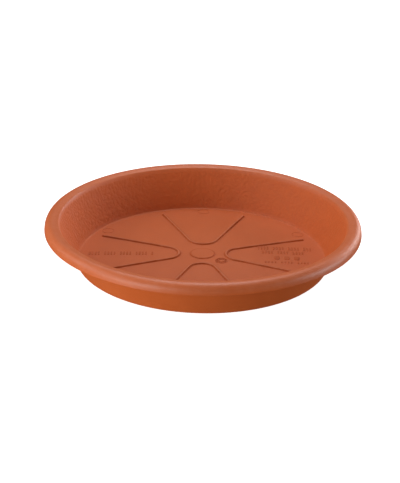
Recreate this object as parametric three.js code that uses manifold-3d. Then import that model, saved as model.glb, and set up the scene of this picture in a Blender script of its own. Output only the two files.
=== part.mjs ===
// A round plant-pot saucer: a one-piece injection moulding in terracotta-coloured polypropylene.
// It is a shallow dish with a flared wall and a rounded rim that turns down into a lip, open underneath.
// The floor is slightly domed. It carries a raised disc over the gate recess and four raised ribs, each a
// pair of radial arms joined by a round tip near the middle, which hold a pot clear of the water.
// Millimetres, +Z up. The origin is the centre of the foot ring, in the plane that the saucer stands on.

import * as THREE from "three";
import { mergeVertices } from "three/addons/utils/BufferGeometryUtils.js";
import Module from "manifold-3d";

// Wall and floor
const FLOOR_RADIUS = 118.2; // where the lines of the floor and the wall meet, inside
const FLOOR_EDGE_Z = 2.7; // the floor's upper face at its edge
const DOME_RISE = 1.85; // how far the middle of the floor stands above its edge
const WALL_SLOPE = 0.479; // outward run of the wall for each millimetre of height
const FLOOR_THICKNESS = 2;
const WALL_THICKNESS = 2;
const CORNER_ROUND = 2; // floor to wall, inside

// Rim and lip. The corners are where the faces' lines meet, before they are rounded.
const RIM_RADIUS = 150; // the widest part, at the foot of the lip
const RIM_INNER_Z = 40.8; // corner of the wall's inner face and the rim's top
const RIM_OUTER_Z = 43.4; // corner of the rim's top and the lip
const RIM_THICKNESS = 2.5; // straight down at the outer corner; square to the sloping top it is less
const LIP_DRAFT = 1.3; // how far the lip leans outwards from its top to its foot
const LIP_FOOT_Z = 32.4;
const RIM_INNER_ROUND = 3;
const RIM_OUTER_ROUND = 7;
const HOLLOW_INNER_ROUND = 5; // the hollow under the rim, beside the wall
const HOLLOW_OUTER_ROUND = 5; // the hollow under the rim, beside the lip
const LIP_EDGE_ROUND = 0.7;

// Foot
const FOOT_INNER_RADIUS = 111.5;
const FOOT_STEP_RADIUS = 110.5;
const FOOT_ROUND = 4;

// Middle of the floor
const DISC_RADIUS = 12;
const DISC_RISE = 0.8;
const RECESS_RADIUS = DISC_RADIUS + DISC_RISE; // under the disc, where the floor's lower face steps up
const GATE_STUB_RADIUS = 1.5;
const GATE_STUB_LENGTH = 0.9;

// Ribs
const PETALS = 4;
const ARM_ANGLE = Math.PI / 8; // each arm's angle from the middle line of its petal
const TIP_DISTANCE = 22.4; // from the axis to the middle of a rib's round tip
const ARM_END = 106.6; // from the axis to the end of an arm
const RIB_WIDTH = 3;
const RIB_HEIGHT = 1.3;
const RIB_ROOT = 0.8; // how far a rib's section reaches into the floor
const RIB_END_SHARE = 0.5; // width and height of a rib's ends, as a share of the whole rib's

// Fineness
const SEGMENTS = 80; // around the axis
const ARC_STEP = 2.5; // along a rounded corner
const FLOOR_STEPS = 4; // from the disc to the edge of the floor
const TIP_STEPS = 13; // along a rib's round tip: odd, so that its middle is one level face
const ARM_STEPS = 5; // along each arm
const SECTION_STEPS = 7; // across a rib's rounded top: odd, so that the top is a narrow flat

const wasm = await Module();
wasm.setup();

/** Height of the floor's upper face at a distance r from the axis, without the disc. */
function floorZ(r) {
  return FLOOR_EDGE_Z + DOME_RISE * (1 - (r / FLOOR_RADIUS) ** 2);
}

/** Radius of the wall's inner face at a height z. */
function wallRadius(z) {
  return FLOOR_RADIUS + (z - FLOOR_EDGE_Z) * WALL_SLOPE;
}

/** Radius of the wall's outer face at a height z. */
function outerWallRadius(z) {
  return wallRadius(z) + WALL_THICKNESS * Math.hypot(1, WALL_SLOPE);
}

/** An arc of the given radius that touches both sides of a corner, as points from before it to after it. */
function cornerArc(before, corner, after, radius) {
  const back = before.clone().sub(corner).normalize();
  const ahead = after.clone().sub(corner).normalize();
  const half = Math.acos(back.dot(ahead)) / 2;
  const middle = back.clone().add(ahead).normalize();
  const centre = corner.clone().addScaledVector(middle, radius / Math.sin(half));
  const start = corner.clone().addScaledVector(back, radius / Math.tan(half));
  const turn = -Math.sign(back.cross(ahead)) * (Math.PI - 2 * half);
  const steps = 1 + Math.ceil((Math.abs(turn) * radius) / ARC_STEP);
  return Array.from({ length: steps + 1 }, (_, k) => start.clone().rotateAround(centre, (turn * k) / steps));
}

/** An outline through corners [x, y, round], where a corner without a round stays sharp. */
function roundedOutline(corners) {
  const points = corners.map(([x, y]) => new THREE.Vector2(x, y));
  return corners.flatMap(([, , round], i) =>
    round ? cornerArc(points[i - 1], points[i], points[i + 1], round) : [points[i]],
  );
}

/** Sharp corners along the floor from radius a up to, but not at, radius b, lowered by drop. */
function floorCorners(a, b, drop) {
  return Array.from({ length: FLOOR_STEPS }, (_, k) => {
    const r = a + ((b - a) * k) / FLOOR_STEPS;
    return [r, floorZ(r) - drop];
  });
}

/** The moulding's section, from the middle of its upper face, over the rim, to the middle underneath. */
function sectionOutline() {
  const discTop = floorZ(0) + DISC_RISE;
  const discUnder = discTop - FLOOR_THICKNESS;
  const stubFoot = discUnder - GATE_STUB_LENGTH;
  const hollowZ = RIM_OUTER_Z - RIM_THICKNESS;
  return roundedOutline([
    [0, discTop],
    [DISC_RADIUS - DISC_RISE, discTop],
    ...floorCorners(DISC_RADIUS, FLOOR_RADIUS, 0),
    [FLOOR_RADIUS, FLOOR_EDGE_Z, CORNER_ROUND],
    [wallRadius(RIM_INNER_Z), RIM_INNER_Z, RIM_INNER_ROUND],
    [RIM_RADIUS - LIP_DRAFT, RIM_OUTER_Z, RIM_OUTER_ROUND],
    [RIM_RADIUS, LIP_FOOT_Z, LIP_EDGE_ROUND],
    [RIM_RADIUS - WALL_THICKNESS, LIP_FOOT_Z, LIP_EDGE_ROUND],
    [RIM_RADIUS - LIP_DRAFT - WALL_THICKNESS, hollowZ, HOLLOW_OUTER_ROUND],
    [outerWallRadius(hollowZ - WALL_THICKNESS), hollowZ - WALL_THICKNESS, HOLLOW_INNER_ROUND],
    [outerWallRadius(0), 0, FOOT_ROUND],
    [FOOT_INNER_RADIUS, 0],
    ...floorCorners(FOOT_STEP_RADIUS, RECESS_RADIUS, FLOOR_THICKNESS),
    [RECESS_RADIUS, floorZ(RECESS_RADIUS) - FLOOR_THICKNESS],
    [DISC_RADIUS, discUnder],
    [GATE_STUB_RADIUS, discUnder],
    [GATE_STUB_RADIUS, stubFoot],
    [0, stubFoot],
  ]);
}

/** A rib's centre line seen from above: in along one arm, round the tip, and out along the other. */
function ribPath() {
  const tipCentre = TIP_DISTANCE / (1 - Math.sin(ARM_ANGLE));
  const tipRadius = tipCentre - TIP_DISTANCE;
  const armStart = tipCentre * Math.cos(ARM_ANGLE);
  const arm = Array.from({ length: ARM_STEPS }, (_, k) => {
    const r = ARM_END + ((armStart - ARM_END) * k) / ARM_STEPS;
    return new THREE.Vector2(r * Math.cos(ARM_ANGLE), r * Math.sin(ARM_ANGLE));
  });
  const sweep = Math.PI - 2 * ARM_ANGLE;
  const tip = Array.from({ length: TIP_STEPS + 1 }, (_, k) => {
    const angle = Math.PI - sweep / 2 + (sweep * k) / TIP_STEPS;
    return new THREE.Vector2(tipCentre + tipRadius * Math.cos(angle), tipRadius * Math.sin(angle));
  });
  const otherArm = arm.map((p) => new THREE.Vector2(p.x, -p.y)).reverse();
  return [...arm, ...tip, ...otherArm];
}

/** A rib's section as [across, up] from the floor's face: a rounded top on a root inside the floor. */
function ribSection(share) {
  const half = (RIB_WIDTH / 2) * share;
  const top = Array.from({ length: SECTION_STEPS + 1 }, (_, k) => {
    const angle = (Math.PI * k) / SECTION_STEPS;
    return [half * Math.cos(angle), RIB_HEIGHT * share * Math.sin(angle)];
  });
  return [[half, -RIB_ROOT], ...top, [-half, -RIB_ROOT]];
}

/** The section of a rib set up at each point of its path, square to the path and following the dome. */
function ribRings() {
  const path = ribPath();
  const last = path.length - 1;
  return path.map((p, i) => {
    const along = path[Math.min(i + 1, last)].clone().sub(path[Math.max(i - 1, 0)]).normalize();
    const share = i === 0 || i === last ? RIB_END_SHARE : 1;
    const z = floorZ(p.length());
    return ribSection(share).map(([across, up]) => [p.x - along.y * across, p.y + along.x * across, z + up]);
  });
}

/** One rib as a closed geometry: a skin over its rings and a cap at each end. */
function ribGeometry() {
  const rings = ribRings();
  const n = rings[0].length;
  const last = (rings.length - 1) * n;
  const faces = [];
  for (let start = 0; start < last; start += n) {
    for (let j = 0; j < n; j++) {
      const a = start + j;
      const b = start + ((j + 1) % n);
      faces.push(a, b, b + n, a, b + n, a + n);
    }
  }
  for (let j = 1; j + 1 < n; j++) {
    faces.push(0, j + 1, j, last, last + j, last + j + 1);
  }
  const geometry = new THREE.BufferGeometry();
  geometry.setAttribute("position", new THREE.Float32BufferAttribute(rings.flat(2), 3));
  geometry.setIndex(faces);
  return geometry;
}

/** A closed geometry as a manifold-3d solid. */
function solidOf(geometry) {
  const bare = geometry.clone();
  bare.deleteAttribute("normal");
  bare.deleteAttribute("uv");
  const merged = mergeVertices(bare, 1e-4);
  const solid = new wasm.Manifold(
    new wasm.Mesh({
      numProp: 3,
      vertProperties: merged.attributes.position.array,
      triVerts: new Uint32Array(merged.index.array),
    }),
  );
  if (solid.volume() < 0) throw new Error("a solid is inside out");
  return solid;
}

/** A manifold-3d solid as a flat-shaded three.js geometry. */
function geometryOf(solid) {
  const mesh = solid.getMesh();
  const geometry = new THREE.BufferGeometry();
  geometry.setAttribute("position", new THREE.BufferAttribute(mesh.vertProperties, 3));
  geometry.setIndex(new THREE.BufferAttribute(mesh.triVerts, 1));
  const flat = geometry.toNonIndexed();
  flat.computeVertexNormals();
  return flat;
}

/** The whole moulding: the turned dish with its four ribs joined to its floor. */
function saucerGeometry() {
  const dish = new THREE.LatheGeometry(sectionOutline().reverse(), SEGMENTS);
  dish.rotateX(Math.PI / 2);
  let saucer = solidOf(dish);
  for (let i = 0; i < PETALS; i++) {
    const rib = ribGeometry().rotateZ((2 * Math.PI * i) / PETALS);
    saucer = saucer.add(solidOf(rib));
  }
  return geometryOf(saucer);
}

const terracotta = new THREE.MeshStandardMaterial({ color: 0xb4613f, roughness: 0.5, metalness: 0 });

const saucer = new THREE.Mesh(saucerGeometry(), terracotta);
saucer.name = "saucer";

const part = new THREE.Group();
part.add(saucer);

export default part;
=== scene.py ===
"""Looks of a round plant-pot saucer: a one-piece moulding in terracotta-coloured polypropylene.

The saucer is one closed shell on a polar grid. Its section gives the wall, the rim, the lip and the
underside, and height formulas raise the disc and the ribs from its domed floor. Small raised marks lie on
the floor as pieces of their own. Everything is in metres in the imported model's frame: +Z up, and the origin
at the centre of the ring that the saucer stands on.
"""

import logging
import math
from dataclasses import dataclass
from enum import Enum

import bpy
import numpy as np
from mathutils import Matrix, Vector


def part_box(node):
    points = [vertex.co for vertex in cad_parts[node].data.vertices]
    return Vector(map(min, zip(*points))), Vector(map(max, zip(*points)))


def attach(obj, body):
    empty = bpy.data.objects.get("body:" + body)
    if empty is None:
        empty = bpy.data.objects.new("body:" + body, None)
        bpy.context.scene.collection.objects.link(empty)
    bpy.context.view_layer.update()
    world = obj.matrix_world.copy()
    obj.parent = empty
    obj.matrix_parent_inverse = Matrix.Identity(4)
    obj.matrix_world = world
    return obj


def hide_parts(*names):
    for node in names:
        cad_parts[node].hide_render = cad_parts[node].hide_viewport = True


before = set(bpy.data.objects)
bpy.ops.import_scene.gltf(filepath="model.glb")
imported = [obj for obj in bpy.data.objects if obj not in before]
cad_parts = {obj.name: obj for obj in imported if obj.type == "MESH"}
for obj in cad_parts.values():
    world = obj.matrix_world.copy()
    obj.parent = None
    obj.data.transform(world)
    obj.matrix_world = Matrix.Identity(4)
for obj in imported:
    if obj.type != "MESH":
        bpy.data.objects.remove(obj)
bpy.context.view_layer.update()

log = logging.getLogger("saucer")

MM = 0.001
BODY = "root"
CAD_NODE = "saucer"

Array = np.ndarray
Input = float | tuple | bpy.types.NodeSocket
Surface = tuple[Array, list[Array], dict[str, Array]]
Colour = tuple[float, float, float, float]

CLOUD_RANGE = (0.3, 0.7)  # the part of a noise's range that its blotches mostly fill


# ---------------------------------------------------------------------------------------------------------
# Surfaces on a grid
# ---------------------------------------------------------------------------------------------------------

def smooth_step(low: float, high: float, x: Array) -> Array:
    """Rises from 0 at low to 1 at high as 3t^2 - 2t^3, with t the share of the way, held within 0 and 1."""
    t = np.clip((x - low) / (high - low), 0.0, 1.0)
    return t * t * (3.0 - 2.0 * t)


def grid_quads(rows: int, columns: int, closed_rows: bool = False) -> Array:
    """Quads between neighbouring points of a grid whose columns run all the way round.

    Point (i, j) has number i * columns + j, and a quad joins (i, j), (i+1, j), (i+1, j+1) and (i, j+1).

    Args:
        rows: Number of points along the first parameter.
        columns: Number of points round the second parameter.
        closed_rows: Whether the last row joins the first one as well.

    Returns:
        Four point numbers for each quad.
    """
    i = np.arange(rows if closed_rows else rows - 1)[:, None]
    j = np.arange(columns)[None, :]
    below, after = (i + 1) % rows, (j + 1) % columns
    corners = (i * columns + j, below * columns + j, below * columns + after, i * columns + after)
    return np.stack(np.broadcast_arrays(*corners), axis=-1).reshape(-1, 4)


def pole_triangles(rows: int, columns: int) -> Array:
    """Triangles that close the two ends of such a grid.

    The pole before the first row has number rows * columns, and the pole after the last row the next one.

    Args:
        rows: Number of points along the first parameter.
        columns: Number of points round the second parameter.

    Returns:
        Three point numbers for each triangle.
    """
    j = np.arange(columns)
    after = (j + 1) % columns
    last, pole = (rows - 1) * columns, rows * columns
    top = np.stack([np.full(columns, pole), j, after], axis=-1)
    bottom = np.stack([np.full(columns, pole + 1), last + after, last + j], axis=-1)
    return np.concatenate([top, bottom])


def repeated(faces: Array, copies: int, step: int) -> Array:
    """The same faces for each of several copies, whose point numbers go up by step from copy to copy."""
    starts = step * np.arange(copies)
    return (starts[:, None, None] + faces[None]).reshape(-1, faces.shape[-1])


def make_piece(
    name: str,
    points: Array,
    faces: list[Array],
    material: bpy.types.Material,
    masks: dict[str, Array] | None = None,
) -> bpy.types.Object:
    """Makes a smooth mesh object at the origin, which rides on the saucer's body.

    Args:
        name: The piece's name.
        points: x, y and z of each point, in metres.
        faces: Arrays of point numbers, one row for each face.
        material: The piece's material.
        masks: By name, a value from 0 to 1 at each point, which the material reads.

    Returns:
        The new object.
    """
    mesh = bpy.data.meshes.new(name)
    mesh.from_pydata(points.tolist(), [], [face for group in faces for face in group.tolist()])
    for mask, values in (masks or {}).items():
        attribute = mesh.attributes.new(mask, "FLOAT", "POINT")
        attribute.data.foreach_set("value", values.astype(np.float32))
    mesh.polygons.foreach_set("use_smooth", np.ones(len(mesh.polygons), bool))
    mesh.materials.append(material)
    mesh.update()
    piece = bpy.data.objects.new(name, mesh)
    bpy.context.scene.collection.objects.link(piece)
    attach(piece, BODY)
    log.info("%s: %d points, %d faces", name, len(points), len(mesh.polygons))
    return piece


# ---------------------------------------------------------------------------------------------------------
# Sizes of the moulding
# ---------------------------------------------------------------------------------------------------------

@dataclass(frozen=True)
class SaucerSizes:
    """Sizes of the moulding in metres. The rim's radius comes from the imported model.

    The last three are shares of a radius: where the side of the disc, of the recess under it and of the
    gate's stub begins, and where it ends.
    """

    rim_radius: float
    thickness: float = 2.0 * MM
    floor_radius: float = 118.2 * MM
    floor_edge_z: float = 2.7 * MM
    dome_rise: float = 1.85 * MM
    wall_slope: float = 0.479
    rim_inner_z: float = 40.8 * MM
    rim_outer_z: float = 43.4 * MM
    hollow_outer_z: float = 40.9 * MM
    lip_foot_z: float = 32.4 * MM
    lip_draft: float = 1.3 * MM
    foot_inner_radius: float = 111.5 * MM
    foot_step_radius: float = 110.5 * MM
    disc_radius: float = 11.6 * MM
    disc_rise: float = 0.8 * MM
    stub_radius: float = 1.5 * MM
    stub_length: float = 0.9 * MM
    disc_side: tuple[float, float] = (0.98, 1.03)
    recess_side: tuple[float, float] = (1.0, 1.1)
    stub_side: tuple[float, float] = (0.86, 1.04)

    @classmethod
    def from_frame(cls) -> "SaucerSizes":
        """The sizes, with the rim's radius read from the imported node's box."""
        low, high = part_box(CAD_NODE)
        return cls(rim_radius=(high.x - low.x) / 2)

    def floor_z(self, r: Array) -> Array:
        """Height of the floor's upper face: the edge's height plus a dome that falls with r squared."""
        return self.floor_edge_z + self.dome_rise * (1.0 - (r / self.floor_radius) ** 2)

    def wall_radius(self, z: float) -> float:
        """Radius of the wall's inner face, which leans outwards in a straight line."""
        return self.floor_radius + (z - self.floor_edge_z) * self.wall_slope

    def outer_wall_radius(self, z: float) -> float:
        """Radius of the wall's outer face, parallel to the inner one."""
        return self.wall_radius(z) + self.thickness * math.hypot(1.0, self.wall_slope)


@dataclass(frozen=True)
class RibSizes:
    """Sizes of the four ribs, each a pair of radial arms joined by a round tip, in metres.

    top_share and toe_share are the places across the rib, as shares of half_width, where its flank begins
    and ends.
    """

    count: int = 4
    arm_angle: float = math.pi / 8
    tip_distance: float = 22.4 * MM
    arm_end: float = 105.6 * MM
    half_width: float = 1.5 * MM
    height: float = 1.3 * MM
    top_share: float = 0.6
    toe_share: float = 1.05

    @property
    def tip_centre(self) -> float:
        """Distance from the axis to the centre of the tip's arc, which touches both arms' lines."""
        return self.tip_distance / (1.0 - math.sin(self.arm_angle))

    def distance(self, r: Array, azimuth: Array) -> Array:
        """Distance from points on the floor to the nearest rib's centre line.

        The azimuth is folded into one rib's sector and then to one side of it. Past the place where the arc
        touches the arm, the distance is that to the arm's line, or to the arm's end beyond it. Before that
        place it is the difference between the distance to the arc's centre and the arc's radius.

        Args:
            r: Distances from the axis.
            azimuth: Angles round the axis.

        Returns:
            Distances to the centre line, none below 0.
        """
        sector = 2.0 * math.pi / self.count
        folded = (azimuth + sector / 2) % sector - sector / 2
        x, y = r * np.cos(folded), r * np.abs(np.sin(folded))
        cos_arm, sin_arm = math.cos(self.arm_angle), math.sin(self.arm_angle)
        along, across = x * cos_arm + y * sin_arm, y * cos_arm - x * sin_arm
        to_arm = np.hypot(np.maximum(along - self.arm_end, 0.0), across)
        to_tip = np.abs(np.hypot(x - self.tip_centre, y) - (self.tip_centre - self.tip_distance))
        return np.where(along > self.tip_centre * cos_arm, to_arm, to_tip)

    def share(self, distance: Array) -> Array:
        """Share of the full height: 1 on the narrow top, falling by a smooth step to 0 at the toe."""
        top, toe = self.top_share * self.half_width, self.toe_share * self.half_width
        return 1.0 - smooth_step(top, toe, distance)


class Bend(Enum):
    """How the surface bends at a corner of the section."""

    SHARP = 0.0
    OUTWARD = 1.0
    INWARD = -1.0


@dataclass(frozen=True)
class Corner:
    """A corner of the section, rounded by an arc that touches both of its sides.

    Attributes:
        r: Distance from the axis to the corner, before it is rounded.
        z: Height of the corner, before it is rounded.
        radius: The arc's radius.
        bend: Whether an edge or a hollow is rounded here.
        arc_rows: Number of points along the arc.
        side_rows: Number of points along the straight side that leads here.
    """

    r: float
    z: float
    radius: float = 0.0
    bend: Bend = Bend.SHARP
    arc_rows: int = 1
    side_rows: int = 0


def rounded_section(corners: list[Corner]) -> tuple[Array, Array]:
    """Points along a section with rounded corners.

    Each arc turns about the centre that is one radius away from both sides. It starts where the first side
    touches it, and its points follow at equal angles. The first and last corners are only where the section
    starts and ends, so they give no points of their own.

    Args:
        corners: The corners in order, the first and the last one included.

    Returns:
        r and z of each point, and how much the surface bends there: up to 1 on edges and -1 in hollows.
    """
    places = np.array([[c.r, c.z] for c in corners])
    points, bends = [], []
    leaving = places[0]
    for before, place, after, corner in zip(places, places[1:], places[2:], corners[1:]):
        back = (before - place) / np.linalg.norm(before - place)
        ahead = (after - place) / np.linalg.norm(after - place)
        half = math.acos(float(back @ ahead)) / 2
        centre = place + (back + ahead) / np.linalg.norm(back + ahead) * corner.radius / math.sin(half)
        start = place + back * corner.radius / math.tan(half)
        turn = -math.copysign(math.pi - 2 * half, back[0] * ahead[1] - back[1] * ahead[0])
        angle = turn * np.linspace(0.0, 1.0, corner.arc_rows)
        spoke = start - centre
        arc = centre + np.stack(
            [np.cos(angle) * spoke[0] - np.sin(angle) * spoke[1],
             np.sin(angle) * spoke[0] + np.cos(angle) * spoke[1]], axis=-1)
        share = np.linspace(0.0, 1.0, corner.side_rows + 2)[1:-1, None]
        swell = np.sin(np.pi * np.linspace(0.0, 1.0, corner.arc_rows))
        points += [leaving + (start - leaving) * share, arc]
        bends += [np.zeros(corner.side_rows), corner.bend.value * swell]
        leaving = arc[-1]
    return np.concatenate(points), np.concatenate(bends)


# ---------------------------------------------------------------------------------------------------------
# The moulding
# ---------------------------------------------------------------------------------------------------------

@dataclass
class Dish:
    """The whole moulding as one closed shell.

    Rows of the grid follow the section from the middle of the floor over the rim to the middle underneath.
    Columns are meridians, drawn together beside each rib's arm so that the rib's flanks get enough points.

    Attributes:
        sizes: Sizes of the moulding.
        ribs: Sizes of the ribs.
        columns_per_arm: Number of columns from one rib's arm to the next.
        gather_radius: Distance from the axis past which the columns are drawn together.
        rim_wear_and_sheen: Strength of the wear and the painted sheen on the rim.
        rim_wear_and_sheen_start: How far inside the rim's edge the wear and painted sheen begin.
        rim_wear_and_sheen_full: How far inside the rim's edge they are full.
        lip_foot_fade: Height above the lip's foot over which the wear and painted sheen fade in.
        shade_reach: How far the painted shade spreads beside a rib or the disc.
        corner_shade: Strength of the painted shade in the section's hollows.
        disc_shade: Strength of the painted shade round the disc.
        pebble_margin: How far below the floor's edge, and below the rim, the pebbles have faded out.
        pebble_fade: How far above the floor's edge, and below the rim, they are full.
    """

    sizes: SaucerSizes
    ribs: RibSizes
    columns_per_arm: int = 56
    gather_radius: float = 17.0 * MM
    rim_wear_and_sheen: float = 0.85
    rim_wear_and_sheen_start: float = 16.0 * MM
    rim_wear_and_sheen_full: float = 12.0 * MM
    lip_foot_fade: float = 4.0 * MM
    shade_reach: float = 0.75 * MM
    corner_shade: float = 0.15
    disc_shade: float = 0.6
    pebble_margin: float = 1.0 * MM
    pebble_fade: float = 3.0 * MM

    def azimuths(self, r: Array) -> Array:
        """Azimuth of each column at each row.

        With half as the angle from an arm to the middle line between two arms, and t as a column's share
        of that way, its angle from the arm is half * (n t + (1 - n) t^3). n is 1 up to the gather radius g,
        and g / r beyond it, so that the columns next to an arm run beside it at a constant distance.

        Args:
            r: Each row's distance from the axis.

        Returns:
            One row of azimuths for each r.
        """
        arms = 2 * self.ribs.count
        half = math.pi / arms
        t = np.arange(self.columns_per_arm // 2) / (self.columns_per_arm // 2)
        near = np.minimum(1.0, self.gather_radius / np.maximum(r, 1e-6))[:, None]
        after_arm = half * (near * t + (1.0 - near) * t**3)
        before_arm = 2 * half - half * (near * (1.0 - t) + (1.0 - near) * (1.0 - t) ** 3)
        sector = np.concatenate([after_arm, before_arm], axis=1)
        arm_azimuths = self.ribs.arm_angle + 2 * half * np.arange(arms)
        return (arm_azimuths[None, :, None] + sector[:, None, :]).reshape(len(r), -1)

    def floor_rows(self) -> Array:
        """Distances of the floor's rows from the axis, closest together where the disc and ribs rise.

        Each stretch is the distance of its first row and of its last one, and its number of rows.

        Returns:
            One distance for each row.
        """
        tip, end, width = self.ribs.tip_distance, self.ribs.arm_end, self.ribs.half_width
        tip_rows_end = self.ribs.tip_centre + width
        stretches = (
            (0.12 * self.sizes.disc_radius, 0.86 * self.sizes.disc_radius, 3),
            (0.96 * self.sizes.disc_radius, 1.07 * self.sizes.disc_radius, 9),
            (1.2 * self.sizes.disc_radius, tip - 1.4 * width, 4),
            (tip - 1.2 * width, tip + 2.4 * width, 22),
            (tip + 2.6 * width, tip_rows_end, 24),
            (tip_rows_end + 4 * MM, end - 2.0 * width, 9),
            (end - 1.0 * width, end + 1.3 * width, 12),
            (end + 2.0 * width, self.sizes.floor_radius - 2.5 * MM, 4),
        )
        return np.concatenate([np.linspace(*stretch) for stretch in stretches])

    def rim_corners(self) -> list[Corner]:
        """The section's corners from the edge of the floor over the rim to the foot ring.

        Returns:
            The corners in order, with one more at each end to say which way the section comes and goes.
        """
        s = self.sizes
        hollow_wall_z = s.hollow_outer_z - s.thickness
        under_edge_r = s.foot_step_radius - 4 * MM
        edge, hollow = Bend.OUTWARD, Bend.INWARD
        return [
            Corner(s.floor_radius - 2 * MM, s.floor_edge_z),
            Corner(s.floor_radius, s.floor_edge_z, 2.0 * MM, hollow, 7),
            Corner(s.wall_radius(s.rim_inner_z), s.rim_inner_z, 3.0 * MM, edge, 8, 12),
            Corner(s.rim_radius - s.lip_draft, s.rim_outer_z, 7.0 * MM, edge, 15, 3),
            Corner(s.rim_radius, s.lip_foot_z, 0.7 * MM, edge, 5, 4),
            Corner(s.rim_radius - s.thickness, s.lip_foot_z, 0.7 * MM, edge, 5, 1),
            Corner(s.rim_radius - s.lip_draft - s.thickness, s.hollow_outer_z, 5.0 * MM, hollow, 8, 3),
            Corner(s.outer_wall_radius(hollow_wall_z), hollow_wall_z, 5.0 * MM, hollow, 6, 2),
            Corner(s.outer_wall_radius(0.0), 0.0, 4.0 * MM, edge, 8, 12),
            Corner(s.foot_inner_radius, 0.0, 0.3 * MM, edge, 3, 2),
            Corner(s.foot_step_radius, s.floor_z(s.foot_step_radius) - s.thickness, 0.3 * MM, hollow, 3),
            Corner(under_edge_r, s.floor_z(under_edge_r) - s.thickness),
        ]

    def underside_rows(self) -> Array:
        """Rows under the floor: one thickness below the dome, with a recess under the disc.

        The recess is as deep as the disc is high, with a smooth step as its side, and the gate's stub hangs
        from its middle.

        Returns:
            r and z of each row.
        """
        s = self.sizes
        r = np.concatenate([
            np.linspace(s.foot_step_radius - 6 * MM, 1.3 * s.disc_radius, 10),
            np.linspace(1.15 * s.disc_radius, 0.95 * s.disc_radius, 6),
            np.linspace(0.7 * s.disc_radius, 1.5 * s.stub_radius, 3),
            s.stub_radius * np.array([1.05, 1.0, 0.97, 0.9, 0.8, 0.4]),
        ])
        recess_start, recess_end = (share * s.disc_radius for share in s.recess_side)
        stub_start, stub_end = (share * s.stub_radius for share in s.stub_side)
        recess = s.disc_rise * (1.0 - smooth_step(recess_start, recess_end, r))
        stub = s.stub_length * (1.0 - smooth_step(stub_start, stub_end, r))
        return np.stack([r, s.floor_z(r) - s.thickness + recess - stub], axis=-1)

    def disc_height(self, r: Array) -> Array:
        """Height of the middle disc above the dome: its rise, with a smooth step as its side."""
        start, end = (share * self.sizes.disc_radius for share in self.sizes.disc_side)
        return self.sizes.disc_rise * (1.0 - smooth_step(start, end, r))

    def edge_mask(self, r: Array, z: Array, bend: Array, rib: Array) -> Array:
        """Where wear shows, and a painted sheen that lightens the rim: on the outward bends and the rim,
        above the lip's foot, and on the ribs.

        Args:
            r: Distance of each point from the axis.
            z: Height of each point.
            bend: How much the section bends at each point.
            rib: Share of a rib's full height at each point of the floor's rows.

        Returns:
            A value from 0 to 1 at each point.
        """
        s = self.sizes
        # Painted sheen: the pale colour is laid over the whole rim top, as well as wear on the outward bends
        # and the ribs' tops.
        on_rim = smooth_step(s.rim_radius - self.rim_wear_and_sheen_start, s.rim_radius - self.rim_wear_and_sheen_full, r)
        above_lip_foot = smooth_step(s.lip_foot_z, s.lip_foot_z + self.lip_foot_fade, z)
        edge = np.maximum(np.maximum(bend, 0.0), self.rim_wear_and_sheen * on_rim) * above_lip_foot
        edge[:len(rib)] = rib
        return edge

    def hollow_mask(self, r: Array, bend: Array, distance: Array) -> Array:
        """Where painted shade darkens the colour: in the inward bends, and beside the ribs and the disc.

        Beside a rib or the disc it falls as exp(-(d / reach)^2), with d the distance from the middle of the
        rib's flank or from the disc's side.

        Args:
            r: Distance of each point from the axis.
            bend: How much the section bends at each point.
            distance: Distance to the nearest rib's centre line at each point of the floor's rows.

        Returns:
            A value from 0 to 1 at each point.
        """
        upper = len(distance)
        flank = 0.5 * (self.ribs.top_share + self.ribs.toe_share) * self.ribs.half_width
        # Painted shade: darkest at the middle of each rib's flank, round the disc's side and in the inward
        # bends.
        beside_rib = np.exp(-((distance - flank) / self.shade_reach) ** 2)
        beside_disc = np.exp(-((r[:upper] - self.sizes.disc_radius) / self.shade_reach) ** 2)
        hollow = self.corner_shade * np.maximum(-bend, 0.0)
        hollow[:upper] = np.maximum(beside_rib, self.disc_shade * beside_disc)
        return hollow

    def pebbled_mask(self, z: Array, wall: slice) -> Array:
        """Where the face is pebbled: on the wall's inner side, fading out at the floor and at the rim.

        Args:
            z: Height of each point.
            wall: The rows of the wall's inner side.

        Returns:
            A value from 0 to 1 at each point.
        """
        low, high = self.sizes.floor_edge_z, self.sizes.rim_inner_z
        above_floor = smooth_step(low - self.pebble_margin, low + self.pebble_fade, z[wall])
        near_rim = smooth_step(high - self.pebble_fade, high - self.pebble_margin, z[wall])
        pebbled = np.zeros_like(z)
        pebbled[wall] = above_floor * (1.0 - near_rim)
        return pebbled

    def build(self, material: bpy.types.Material) -> bpy.types.Object:
        """Makes the shell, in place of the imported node.

        Args:
            material: The moulding's material.

        Returns:
            The shell.
        """
        floor_r = self.floor_rows()
        corners = self.rim_corners()
        rim, rim_bend = rounded_section(corners)
        under = self.underside_rows()
        floor = np.stack([floor_r, self.sizes.floor_z(floor_r) + self.disc_height(floor_r)], axis=-1)
        section = np.concatenate([floor, rim, under])
        azimuth = self.azimuths(section[:, 0])
        r = np.broadcast_to(section[:, :1], azimuth.shape)
        z = np.broadcast_to(section[:, 1:], azimuth.shape).copy()

        upper = len(floor_r)
        distance = self.ribs.distance(r[:upper], azimuth[:upper])
        rib = self.ribs.share(distance)
        z[:upper] += self.ribs.height * rib

        bend = np.zeros_like(z)
        bend[upper:upper + len(rim)] = rim_bend[:, None]
        wall_rows = sum(corner.side_rows + corner.arc_rows for corner in corners[1:3])
        masks = {
            "edge": self.edge_mask(r, z, bend, rib),
            "hollow": self.hollow_mask(r, bend, distance),
            "pebbled": self.pebbled_mask(z, slice(upper, upper + wall_rows)),
        }

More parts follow.
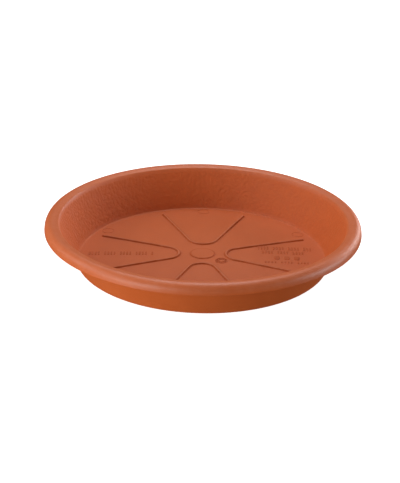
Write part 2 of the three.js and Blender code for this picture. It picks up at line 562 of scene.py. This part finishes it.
        middle = float(self.sizes.floor_z(0.0))
        stub_foot = middle - self.sizes.thickness + self.sizes.disc_rise - self.sizes.stub_length
        grid = np.stack([r * np.cos(azimuth), r * np.sin(azimuth), z], axis=-1).reshape(-1, 3)
        poles = np.array([[0.0, 0.0, middle + self.sizes.disc_rise], [0.0, 0.0, stub_foot]])
        rows, columns = azimuth.shape
        piece = make_piece(
            "saucer_moulding",
            np.concatenate([grid, poles]),
            [grid_quads(rows, columns), pole_triangles(rows, columns)],
            material,
            {name: np.append(values.ravel(), [0.0, 0.0]) for name, values in masks.items()},
        )
        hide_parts(CAD_NODE)
        return piece


@dataclass(frozen=True)
class Mark:
    """A raised mark on the floor.

    Attributes:
        x: Place of its middle.
        y: Place of its middle.
        half_length: Half its size along its own length.
        half_width: Half its size across.
        turn: Angle of its length from the X axis.
    """

    x: float
    y: float
    half_length: float
    half_width: float
    turn: float = 0.0


@dataclass(frozen=True)
class BarRow:
    """A row of upright bars side by side along the X axis.

    Attributes:
        start: X of its first bar.
        end: X of its last bar.
        y: Y of its middle line.
        bar_length: The length of its bars.
    """

    start: float
    end: float
    y: float
    bar_length: float


@dataclass
class FloorMarks:
    """Small raised marks that the mould leaves on the floor, each sunk a little way into it.

    The outline of a bar, a block or a tick is a superellipse of the exponent pad_exponent, and edge_share
    is how much of its half width the rounded edge takes. Every place in a row whose number is a multiple of
    row_group stays empty. inner_ring_share and tick_share are shares of the date ring's radius.
    """

    sizes: SaucerSizes
    sunk: float = 0.25 * MM
    mark_height: float = 0.48 * MM
    top_shade: float = 0.5
    pad_exponent: float = 5.0
    pad_columns: int = 24
    edge_rows: int = 5
    edge_share: float = 0.2
    row_pitch: float = 2.9 * MM
    row_group: int = 5
    bar_half_width: float = 0.8 * MM
    right_rows: tuple[BarRow, ...] = (
        BarRow(54.0 * MM, 104.0 * MM, 17.5 * MM, 7.5 * MM),
        BarRow(58.0 * MM, 99.0 * MM, 8.0 * MM, 6.5 * MM),
        BarRow(60.0 * MM, 100.0 * MM, -14.5 * MM, 3.5 * MM),
    )
    left_row: BarRow = BarRow(-108.0 * MM, -48.0 * MM, -0.8 * MM, 7.5 * MM)
    block_places: tuple[float, ...] = (71.0 * MM, 80.5 * MM, 90.0 * MM)
    block_y: float = -4.5 * MM
    block_half_length: float = 3.8 * MM
    block_half_width: float = 2.5 * MM
    ring_columns: int = 64
    ring_rows: int = 10
    date_ring_place: tuple[float, float] = (18.1 * MM, -15.0 * MM)
    date_ring_radius: float = 5.6 * MM
    date_ring_line: float = 0.55 * MM
    inner_ring_share: float = 0.5
    months: int = 12
    tick_share: float = 0.75
    tick_half_length: float = 0.8 * MM
    tick_half_width: float = 0.2 * MM
    pin_count: int = 6
    pin_turn: float = math.pi / 6
    pin_distance: float = 108.5 * MM
    pin_radius: float = 5.6 * MM
    pin_line: float = 0.35 * MM
    pin_height: float = 0.2 * MM

    def pads(self, marks: list[Mark]) -> Surface:
        """Pads with a rounded edge, as closed surfaces that follow the dome.

        With u the angle round a pad, its plan is a superellipse. From the top's middle to its edge the plan
        grows, and the height falls from the full height by a quarter circle. Then the side goes straight
        down below the floor's face, and a bottom closes the pad.

        Args:
            marks: The pads' places and sizes.

        Returns:
            The points, the faces and the masks of all the pads.
        """
        u = np.linspace(0.0, 2.0 * math.pi, self.pad_columns, endpoint=False)
        exponent, height = self.pad_exponent, self.mark_height
        reach = (np.abs(np.cos(u)) ** exponent + np.abs(np.sin(u)) ** exponent) ** (-1.0 / exponent)
        fall = np.linspace(0.0, math.pi / 2, self.edge_rows)
        edge = 1.0 - self.edge_share + self.edge_share * np.sin(fall)
        share = np.concatenate([[0.4, 0.7], edge, [1.0, 0.5]])
        level = np.concatenate([[height, height], height * np.cos(fall), [-self.sunk, -self.sunk]])
        place = np.array([[m.x, m.y, m.half_length, m.half_width, m.turn] for m in marks])
        x0, y0, length, width, turn = (column[:, None, None] for column in place.T)
        along = length * share[None, :, None] * (reach * np.cos(u))[None, None, :]
        across = width * share[None, :, None] * (reach * np.sin(u))[None, None, :]
        x = x0 + along * np.cos(turn) - across * np.sin(turn)
        y = y0 + along * np.sin(turn) + across * np.cos(turn)
        z = self.sizes.floor_z(np.hypot(x, y)) + level[None, :, None]
        rows, columns = len(share), len(u)
        grid = np.stack([x, y, z], axis=-1).reshape(len(marks), rows * columns, 3)
        middle_z = self.sizes.floor_z(np.hypot(place[:, 0], place[:, 1]))
        poles = np.stack([np.column_stack([place[:, :2], middle_z + level[0]]),
                          np.column_stack([place[:, :2], middle_z + level[-1]])], axis=1)
        points = np.concatenate([grid, poles], axis=1).reshape(-1, 3)
        step = rows * columns + 2
        faces = [repeated(grid_quads(rows, columns), len(marks), step),
                 repeated(pole_triangles(rows, columns), len(marks), step)]
        # Painted shade: full at each pad's foot and below the floor, and a lesser share on its top.
        foot = np.clip(1.0 - level / height, self.top_shade, 1.0)
        hollow = np.tile(np.concatenate([np.repeat(foot, columns), [self.top_shade, 1.0]]), len(marks))
        return points, faces, {"hollow": hollow}

    def rings(self, marks: list[Mark], line: float, height: float) -> Surface:
        """Thin raised rings that follow the dome.

        Each is an ellipse carried round a circle: across the line it is line / 2 * cos(v) wide and
        height * sin(v) high, so that its lower half is inside the floor.

        Args:
            marks: The rings' places and radii, the radius as the mark's half_length.
            line: The width of the raised line.
            height: How far it stands above the floor.

        Returns:
            The points, the faces and the masks of all the rings.
        """
        v = np.linspace(0.0, 2.0 * math.pi, self.ring_rows, endpoint=False)[None, :, None]
        u = np.linspace(0.0, 2.0 * math.pi, self.ring_columns, endpoint=False)[None, None, :]
        x0, y0, radius = np.array([[m.x, m.y, m.half_length] for m in marks]).T[:, :, None, None]
        spoke = radius - line / 2 * np.cos(v)
        x, y = x0 + spoke * np.cos(u), y0 + spoke * np.sin(u)
        z = self.sizes.floor_z(np.hypot(x, y)) + height * np.sin(v)
        rows, columns = v.size, u.size
        points = np.stack([x, y, z], axis=-1).reshape(-1, 3)
        faces = [repeated(grid_quads(rows, columns, closed_rows=True), len(marks), rows * columns)]
        # Painted shade: full on each ring's lower half, and a lesser share on its top.
        foot = np.broadcast_to(np.clip(1.0 - np.sin(v), self.top_shade, 1.0), x.shape)
        return points, faces, {"hollow": foot.ravel()}

    def bars(self, row: BarRow) -> list[Mark]:
        """The row's bars at an even pitch, with the last place of each group left empty."""
        count = int(abs(row.end - row.start) / self.row_pitch) + 1
        return [
            Mark(x, row.y, row.bar_length / 2, self.bar_half_width, math.pi / 2)
            for i, x in enumerate(np.linspace(row.start, row.end, count))
            if (i + 1) % self.row_group != 0
        ]

    def right_marks(self) -> list[Mark]:
        """The rows of bars on the right, and the row of blocks between the last two of them."""
        blocks = [
            Mark(x, self.block_y, self.block_half_length, self.block_half_width, math.pi / 2)
            for x in self.block_places
        ]
        return [mark for row in self.right_rows for mark in self.bars(row)] + blocks

    def date_rings(self) -> list[Mark]:
        """The date ring and the smaller ring inside it."""
        x, y = self.date_ring_place
        return [Mark(x, y, share * self.date_ring_radius, 0.0) for share in (1.0, self.inner_ring_share)]

    def date_ticks(self) -> list[Mark]:
        """One tick for each month, between the two rings.

        Returns:
            The ticks, each with its length along the ring's radius.
        """
        x, y = self.date_ring_place
        middle = self.tick_share * self.date_ring_radius
        length, width = self.tick_half_length, self.tick_half_width
        angles = 2.0 * math.pi * np.arange(self.months) / self.months
        return [Mark(x + middle * math.cos(a), y + middle * math.sin(a), length, width, a) for a in angles]

    def pin_rings(self) -> list[Mark]:
        """The rings that the knock-out pins leave, evenly spaced near the edge of the floor."""
        angles = self.pin_turn + 2.0 * math.pi * np.arange(self.pin_count) / self.pin_count
        return [
            Mark(self.pin_distance * math.cos(a), self.pin_distance * math.sin(a), self.pin_radius, 0.0)
            for a in angles
        ]

    def build(self, material: bpy.types.Material) -> None:
        """Makes the marks on the right and on the left, the date ring and the knock-out pins' rings.

        Args:
            material: The moulding's material.
        """
        surfaces = {
            "raised_bars_right": self.pads(self.right_marks()),
            "raised_bars_left": self.pads(self.bars(self.left_row)),
            "date_ring": self.rings(self.date_rings(), self.date_ring_line, self.mark_height),
            "date_ring_ticks": self.pads(self.date_ticks()),
            "knock_out_pin_rings": self.rings(self.pin_rings(), self.pin_line, self.pin_height),
        }
        for name, (points, faces, masks) in surfaces.items():
            make_piece(name, points, faces, material, masks)


# ---------------------------------------------------------------------------------------------------------
# Finishes
# ---------------------------------------------------------------------------------------------------------

class Graph:
    """Adds nodes to a shader tree and joins them."""

    def __init__(self, tree: bpy.types.NodeTree) -> None:
        """Starts from an empty tree."""
        self.tree = tree
        tree.nodes.clear()

    def node(
        self, kind: str, inputs: dict[str | int, Input] | None = None, **settings: object
    ) -> bpy.types.Node:
        """Adds one node.

        Args:
            kind: The node's type, without the leading "ShaderNode".
            inputs: Values or other nodes' outputs, by the input's name or place.
            **settings: The node's own properties.

        Returns:
            The new node.
        """
        node = self.tree.nodes.new("ShaderNode" + kind)
        for name, value in settings.items():
            setattr(node, name, value)
        for name, value in (inputs or {}).items():
            self.feed(node.inputs[name], value)
        return node

    def feed(self, socket: bpy.types.NodeSocket, value: Input) -> None:
        """Joins an output to a socket, or sets the socket's own value."""
        if isinstance(value, bpy.types.NodeSocket):
            self.tree.links.new(value, socket)
        else:
            socket.default_value = value

    def math(self, operation: str, a: Input, b: Input = 0.0) -> bpy.types.NodeSocket:
        """Adds a Math node.

        Args:
            operation: What it works out.
            a: The first value.
            b: The second value, where the operation takes one.

        Returns:
            Its result.
        """
        node = self.node("Math", operation=operation)
        self.feed(node.inputs[0], a)
        self.feed(node.inputs[1], b)
        return node.outputs[0]

    def part(self, value: Input, share: float) -> bpy.types.NodeSocket:
        """A value times a share."""
        return self.math("MULTIPLY", value, share)

    def remap(
        self, value: Input, low: float, high: float, to_low: float = 0.0, to_high: float = 1.0
    ) -> bpy.types.NodeSocket:
        """The value taken from one range to another, and held within it."""
        inputs = {"Value": value, "From Min": low, "From Max": high, "To Min": to_low, "To Max": to_high}
        return self.node("MapRange", inputs).outputs["Result"]

    def mix(self, share: Input, a: Input, b: Input) -> bpy.types.NodeSocket:
        """Mixes two colours.

        Args:
            share: 0 for the first colour, 1 for the second.
            a: The first colour.
            b: The second colour.

        Returns:
            The mixed colour.
        """
        node = self.node("Mix", data_type="RGBA", clamp_factor=True)
        for place, value in ((0, share), (6, a), (7, b)):
            self.feed(node.inputs[place], value)
        return node.outputs[2]

    def noise(
        self, place: Input, size: float, detail: float = 2.0, roughness: float = 0.5
    ) -> bpy.types.NodeSocket:
        """Noise from 0 to 1, whose blotches are about that many metres across."""
        inputs = {"Vector": place, "Scale": 1.0 / size, "Detail": detail, "Roughness": roughness}
        return self.node("TexNoise", inputs).outputs["Fac"]


@dataclass(frozen=True)
class Effect:
    """A surface effect kept as a node group, which takes the position and masks and puts out values."""

    name: str
    inputs: tuple[str, ...]
    outputs: tuple[str, ...]

    def begin(self) -> tuple[Graph, bpy.types.Node, bpy.types.Node]:
        """Makes the empty group.

        Returns:
            The group's graph, its node of inputs and its node of outputs.
        """
        tree = bpy.data.node_groups.new(self.name, "ShaderNodeTree")
        tree.interface.new_socket("Position", in_out="INPUT", socket_type="NodeSocketVector")
        for name in self.inputs:
            tree.interface.new_socket(name, in_out="INPUT", socket_type="NodeSocketFloat")
        for name in self.outputs:
            tree.interface.new_socket(name, in_out="OUTPUT", socket_type="NodeSocketFloat")
        graph = Graph(tree)
        return graph, tree.nodes.new("NodeGroupInput"), tree.nodes.new("NodeGroupOutput")


def mould_grain() -> bpy.types.NodeTree:
    """The grain that the mould's etched face leaves.

    Grain is a fine noise with a coarser one under it, and pebbles where the face is pebbled. Mottle is a
    soft cloudiness some millimetres across.

    Returns:
        The effect's node group.
    """
    fine_size, coarse_size, pebble_size, cloud_size = 0.55 * MM, 2.4 * MM, 3.3 * MM, 14.0 * MM
    fine_share, coarse_share = 0.15, 0.1
    effect = Effect("mould_grain", ("Pebbled",), ("Grain", "Mottle"))
    graph, given, result = effect.begin()
    place = given.outputs["Position"]
    fine = graph.part(graph.noise(place, fine_size, detail=1.0), fine_share)
    coarse = graph.part(graph.noise(place, coarse_size), coarse_share)
    pebbles = graph.noise(place, pebble_size, detail=1.0, roughness=0.4)
    pebbles = graph.math("MULTIPLY", pebbles, given.outputs["Pebbled"])
    graph.feed(result.inputs["Grain"], graph.math("ADD", graph.math("ADD", fine, coarse), pebbles))
    cloud = graph.noise(place, cloud_size, detail=4.0, roughness=0.62)
    graph.feed(result.inputs["Mottle"], graph.remap(cloud, *CLOUD_RANGE))
    return graph.tree


def pigment_flow() -> bpy.types.NodeTree:
    """Faint streaks of pigment that ran outwards from the gate.

    The noise is read on a circle round the axis, at the point's own direction, with a share of its distance
    from the axis as the third coordinate. So its blotches are long along the radius and narrow across it.

    Returns:
        The effect's node group.
    """
    circle_radius, distance_share, streak_size = 100.0 * MM, 0.12, 7.0 * MM
    effect = Effect("pigment_flow", (), ("Flow",))
    graph, given, result = effect.begin()
    position = {0: given.outputs["Position"], 1: (1.0, 1.0, 0.0)}
    flat = graph.node("VectorMath", position, operation="MULTIPLY").outputs[0]
    away = graph.node("VectorMath", {0: flat}, operation="LENGTH").outputs["Value"]
    direction = graph.node("VectorMath", {0: flat}, operation="NORMALIZE").outputs[0]
    circle = graph.node("VectorMath", {0: direction, "Scale": circle_radius}, operation="SCALE").outputs[0]
    depth = graph.node("CombineXYZ", {"Z": graph.part(away, distance_share)}).outputs[0]
    place = graph.node("VectorMath", {0: circle, 1: depth}, operation="ADD").outputs[0]
    streaks = graph.noise(place, streak_size, detail=3.0, roughness=0.6)
    graph.feed(result.inputs["Flow"], graph.remap(streaks, *CLOUD_RANGE))
    return graph.tree


def handling() -> bpy.types.NodeTree:
    """Signs of use.

    The first output is where edges are polished pale and where a painted sheen lightens the rim, the second
    is painted shade in hollows, beside the ribs and the disc and at the feet of the marks, and Scuff is fine
    scratches: the narrow middle band of a noise that is stretched in one direction, twice, and broken up by
    another noise.

    Returns:
        The effect's node group.
    """
    patch_size, scratch_size, gap_size = 9.0 * MM, 60.0 * MM, 30.0 * MM
    scratch_turns, scratch_stretch, scratch_band = (0.5, 2.1), (1.0, 0.06, 0.3), 0.004
    effect = Effect("handling", ("Edge", "Hollow"), ("WearAndSheen", "PaintedShade", "Scuff"))
    graph, given, result = effect.begin()
    place = given.outputs["Position"]
    patches = graph.noise(place, patch_size, detail=4.0, roughness=0.65)
    # Wear on edges and ribs, and a painted sheen over the rim, broken up by the patches.
    wear_and_sheen = graph.math("MULTIPLY", given.outputs["Edge"], graph.remap(patches, 0.42, 0.68, 0.55, 1.0))
    graph.feed(result.inputs["WearAndSheen"], wear_and_sheen)
    # Painted shade in hollows, beside the ribs and the disc and at the marks' feet, broken up a little by the
    # patches.
    painted_shade = graph.math("MULTIPLY", given.outputs["Hollow"], graph.remap(patches, 0.35, 0.6, 1.0, 0.7))
    graph.feed(result.inputs["PaintedShade"], painted_shade)
    scratches = []
    for turn in scratch_turns:
        inputs = {"Vector": place, "Rotation": (0.0, 0.0, turn), "Scale": scratch_stretch}
        turned = graph.node("Mapping", inputs, vector_type="TEXTURE")
        noise = graph.noise(turned.outputs[0], scratch_size)
        from_middle = graph.math("ABSOLUTE", graph.math("SUBTRACT", noise, 0.5))
        scratches.append(graph.remap(from_middle, 0.0, scratch_band, 1.0, 0.0))
    gaps = graph.remap(graph.noise(place, gap_size), 0.5, 0.65)
    graph.feed(result.inputs["Scuff"], graph.math("MULTIPLY", graph.math("MAXIMUM", *scratches), gaps))
    return graph.tree


@dataclass(frozen=True)
class Polypropylene:
    """Satin injection-moulded polypropylene, coloured all through.

    Attributes:
        name: The material's name.
        colour: The usual colour, linear.
        deep: The colour where pigment is densest.
        pale: The colour of rubbed edges, and of the sheen painted on the rim.
        painted_shade: The dark colour of the shade painted into hollows, beside the ribs and round the marks.
        roughness: Roughness of the clean face.
        grain_height: Depth of the mould's grain, in metres.
        flow_share: How much of the pigment's pattern is streaks. The rest is mottle.
        shading: How far the full painted shade takes the colour to the painted shade's colour.
        lightening: How far full wear and painted sheen take it to the pale colour.
        scuffing: How far a scratch takes it to the pale colour.
        mottle_roughness: What the mottle adds to the roughness, from its least to its most.
        shade_roughness: What the painted shade's mask adds to the roughness.
        pebble_roughness: What pebbles add to the roughness.
        wear_and_sheen_smoothness: What the wear and painted sheen's mask takes off the roughness.
        scuff_depth: Depth of a scratch, as a share of grain_height.
        gloss: The clean face's specular level.
        shade_dulling: What the painted shade's mask takes off the gloss.
        pebble_dulling: What pebbles take off the gloss.
        ior: Index of refraction.
    """

    name: str
    colour: Colour
    deep: Colour
    pale: Colour
    painted_shade: Colour
    roughness: float
    grain_height: float
    flow_share: float = 0.2
    soiling: float = 0.52
    lightening: float = 0.35
    scuffing: float = 0.06
    mottle_roughness: tuple[float, float] = (-0.03, 0.04)
    shade_roughness: float = 0.4
    pebble_roughness: float = 0.22
    wear_and_sheen_smoothness: float = 0.06
    scuff_depth: float = 0.05
    gloss: float = 0.5
    shade_dulling: float = 0.45
    pebble_dulling: float = 0.12
    ior: float = 1.49

    def material(
        self, grain: bpy.types.NodeTree, flow: bpy.types.NodeTree, use: bpy.types.NodeTree
    ) -> bpy.types.Material:
        """Makes the material from the three shared effects.

        Args:
            grain: The mould's grain.
            flow: The pigment's streaks.
            use: The signs of use.

        Returns:
            The material.
        """
        material = bpy.data.materials.new(self.name)
        material.use_nodes = True
        graph = Graph(material.node_tree)
        place = graph.node("TexCoord").outputs["Object"]
        edge = graph.node("Attribute", attribute_name="edge").outputs["Fac"]
        hollow = graph.node("Attribute", attribute_name="hollow").outputs["Fac"]
        pebbled = graph.node("Attribute", attribute_name="pebbled").outputs["Fac"]
        texture = graph.node("Group", node_tree=grain)
        streaks = graph.node("Group", node_tree=flow)
        marks = graph.node("Group", node_tree=use)
        for group in (texture, streaks, marks):
            graph.feed(group.inputs["Position"], place)
        graph.feed(texture.inputs["Pebbled"], pebbled)
        graph.feed(marks.inputs["Edge"], edge)
        graph.feed(marks.inputs["Hollow"], hollow)

        mottle, painted_shade = texture.outputs["Mottle"], marks.outputs["PaintedShade"]
        wear_and_sheen, scuff = marks.outputs["WearAndSheen"], marks.outputs["Scuff"]

        clouds = graph.part(mottle, 1.0 - self.flow_share)
        pigment = graph.math("ADD", clouds, graph.part(streaks.outputs["Flow"], self.flow_share))
        base = graph.mix(pigment, self.deep, self.colour)
        # Painted shade: the dark colour mixed in where the hollow mask says.
        shaded = graph.mix(graph.part(painted_shade, self.soiling), base, self.painted_shade)
        # Wear, and a painted sheen on the rim: the pale colour mixed in where the edge mask says.
        lightened = graph.mix(graph.part(wear_and_sheen, self.lightening), shaded, self.pale)
        scuffed = graph.mix(graph.part(scuff, self.scuffing), lightened, self.pale)

        rough = graph.math("ADD", self.roughness, graph.remap(mottle, 0.0, 1.0, *self.mottle_roughness))
        rough = graph.math("ADD", rough, graph.part(painted_shade, self.shade_roughness))
        rough = graph.math("ADD", rough, graph.part(pebbled, self.pebble_roughness))
        rough = graph.math("SUBTRACT", rough, graph.part(wear_and_sheen, self.wear_and_sheen_smoothness))
        gloss = graph.math("SUBTRACT", self.gloss, graph.part(painted_shade, self.shade_dulling))
        gloss = graph.math("SUBTRACT", gloss, graph.part(pebbled, self.pebble_dulling))
        relief = graph.math("SUBTRACT", texture.outputs["Grain"], graph.part(scuff, self.scuff_depth))
        bump = graph.node("Bump", {"Height": relief, "Distance": self.grain_height, "Strength": 1.0})

        inputs = {
            "Base Color": scuffed,
            "Roughness": rough,
            "Normal": bump.outputs[0],
            "IOR": self.ior,
            "Specular IOR Level": gloss,
        }
        shader = graph.node("BsdfPrincipled", inputs)
        output = graph.node("OutputMaterial")
        graph.feed(output.inputs["Surface"], shader.outputs[0])
        return material


TERRACOTTA = Polypropylene(
    name="terracotta_polypropylene",
    colour=(0.55, 0.113, 0.022, 1.0),
    deep=(0.51, 0.101, 0.019, 1.0),
    pale=(0.62, 0.215, 0.115, 1.0),
    painted_shade=(0.20, 0.030, 0.005, 1.0),
    roughness=0.48,
    grain_height=0.65 * MM,
)


# ---------------------------------------------------------------------------------------------------------
# Studio
# ---------------------------------------------------------------------------------------------------------

@dataclass(frozen=True)
class SoftBox:
    """A soft square area light that faces the saucer, and makes no highlight from below the horizon.

    Attributes:
        name: The light's name.
        azimuth: Its place round the saucer in degrees, 0 on the camera's side and 90 on the right.
        elevation: Its height above the horizon in degrees.
        distance: How far it is from the saucer, in metres.
        size: The length of its sides, in metres.
        power: Its power in watts.
    """

    name: str
    azimuth: float
    elevation: float
    distance: float
    size: float
    power: float

    def build(self) -> bpy.types.Object:
        """Makes the light.

        Returns:
            The light's object.
        """
        data = bpy.data.lights.new(self.name, "AREA")
        data.energy, data.size = self.power, self.size
        light = bpy.data.objects.new(self.name, data)
        bpy.context.scene.collection.objects.link(light)
        a, e = math.radians(self.azimuth), math.radians(self.elevation)
        away = Vector((math.sin(a) * math.cos(e), -math.cos(a) * math.cos(e), math.sin(e)))
        light.location = away * self.distance
        light.rotation_euler = away.to_track_quat("Z", "Y").to_euler()
        light.visible_glossy = self.elevation > 0.0
        return light


@dataclass(frozen=True)
class Studio:
    """A pale floor, soft lights and the camera."""

    rim_radius: float
    elevation: float = 24.5
    distance_in_radii: float = 8.94
    lens: float = 104.25
    roll: float = 1.14
    aim: tuple[float, float] = (-0.0175, 0.1055)
    floor_size: float = 12.0
    floor_colour: Colour = (0.6, 0.6, 0.6, 1.0)
    floor_roughness: float = 0.9
    floor_glow: float = 0.95
    white: Colour = (1.0, 1.0, 1.0, 1.0)
    surround: Colour = (1.0, 0.55, 0.4, 1.0)
    surround_strength: float = 0.07
    lights: tuple[SoftBox, ...] = (
        SoftBox("front_left", -45.0, 8.0, 1.6, 0.8, 17.5),
        SoftBox("left", -90.0, 25.0, 1.6, 0.8, 7.7),
        SoftBox("right", 90.0, 8.0, 1.6, 0.8, 13.0),
        SoftBox("back_right", 135.0, 14.0, 1.6, 0.8, 9.8),
        SoftBox("top", 180.0, 67.0, 1.7, 1.0, 17.6),
        SoftBox("bounce_front", 0.0, -35.0, 1.6, 1.0, 4.9),
        SoftBox("bounce_left", -90.0, -35.0, 1.6, 1.0, 7.4),
    )

    def build_floor(self) -> None:
        """Makes the plain pale floor that the saucer stands on.

        It glows, so that the shadow on it stays faint. It throws no light back at the saucer, and lets
        through that of the two bounce lights, which stand in for the light off a table.
        """
        half = self.floor_size / 2
        corners = [(-half, -half, 0.0), (half, -half, 0.0), (half, half, 0.0), (-half, half, 0.0)]
        mesh = bpy.data.meshes.new("studio_floor")
        mesh.from_pydata(corners, [], [(0, 1, 2, 3)])
        material = bpy.data.materials.new("studio_floor")
        material.use_nodes = True
        shader = material.node_tree.nodes["Principled BSDF"]
        shader.inputs["Base Color"].default_value = self.floor_colour
        shader.inputs["Roughness"].default_value = self.floor_roughness
        shader.inputs["Emission Color"].default_value = self.white
        shader.inputs["Emission Strength"].default_value = self.floor_glow
        mesh.materials.append(material)
        floor = bpy.data.objects.new("studio_floor", mesh)
        bpy.context.scene.collection.objects.link(floor)
        floor.visible_diffuse = False
        floor.visible_glossy = False
        floor.visible_shadow = False

    def build_camera(self) -> None:
        """Makes the camera, which looks along +Y and down at a point beside the middle of the saucer.

        The aim is in shares of the rim's radius, to the right and up in the picture.
        """
        e = math.radians(self.elevation)
        back, up = Vector((0.0, -math.cos(e), math.sin(e))), Vector((0.0, math.sin(e), math.cos(e)))
        place = back * self.distance_in_radii * self.rim_radius
        aim = (Vector((self.aim[0], 0.0, 0.0)) + up * self.aim[1]) * self.rim_radius
        data = bpy.data.cameras.new("camera")
        data.lens = self.lens
        camera = bpy.data.objects.new("camera", data)
        bpy.context.scene.collection.objects.link(camera)
        level = (aim - place).to_track_quat("-Z", "Y").to_matrix()
        rolled = level @ Matrix.Rotation(math.radians(self.roll), 3, "Z")
        camera.matrix_world = Matrix.Translation(place) @ rolled.to_4x4()
        bpy.context.scene.camera = camera

    def build_surround(self) -> None:
        """Makes the even light from all round, behind which the camera sees plain white."""
        world = bpy.data.worlds.new("studio")
        world.use_nodes = True
        graph = Graph(world.node_tree)
        seen = graph.node("LightPath").outputs["Is Camera Ray"]
        light = graph.node("Background", {"Color": self.surround, "Strength": self.surround_strength})
        plain = graph.node("Background", {"Color": self.white, "Strength": 1.0})
        mixed = graph.node("MixShader", {0: seen, 1: light.outputs[0], 2: plain.outputs[0]})
        output = graph.node("OutputWorld")
        graph.feed(output.inputs["Surface"], mixed.outputs[0])
        bpy.context.scene.world = world

    def build(self) -> None:
        """Makes the floor, the camera, the lights and an even, slightly warm surround."""
        self.build_floor()
        self.build_camera()
        for light in self.lights:
            light.build()
        self.build_surround()
        bpy.context.scene.view_settings.view_transform = "Standard"


def main() -> None:
    """Builds the saucer, its marks and the studio, and logs each piece's points and faces."""
    logging.basicConfig(level=logging.INFO, format="%(name)s: %(message)s")
    sizes = SaucerSizes.from_frame()
    material = TERRACOTTA.material(mould_grain(), pigment_flow(), handling())
    Dish(sizes, RibSizes()).build(material)
    FloorMarks(sizes).build(material)
    Studio(sizes.rim_radius).build()


if __name__ == "__main__":
    main()
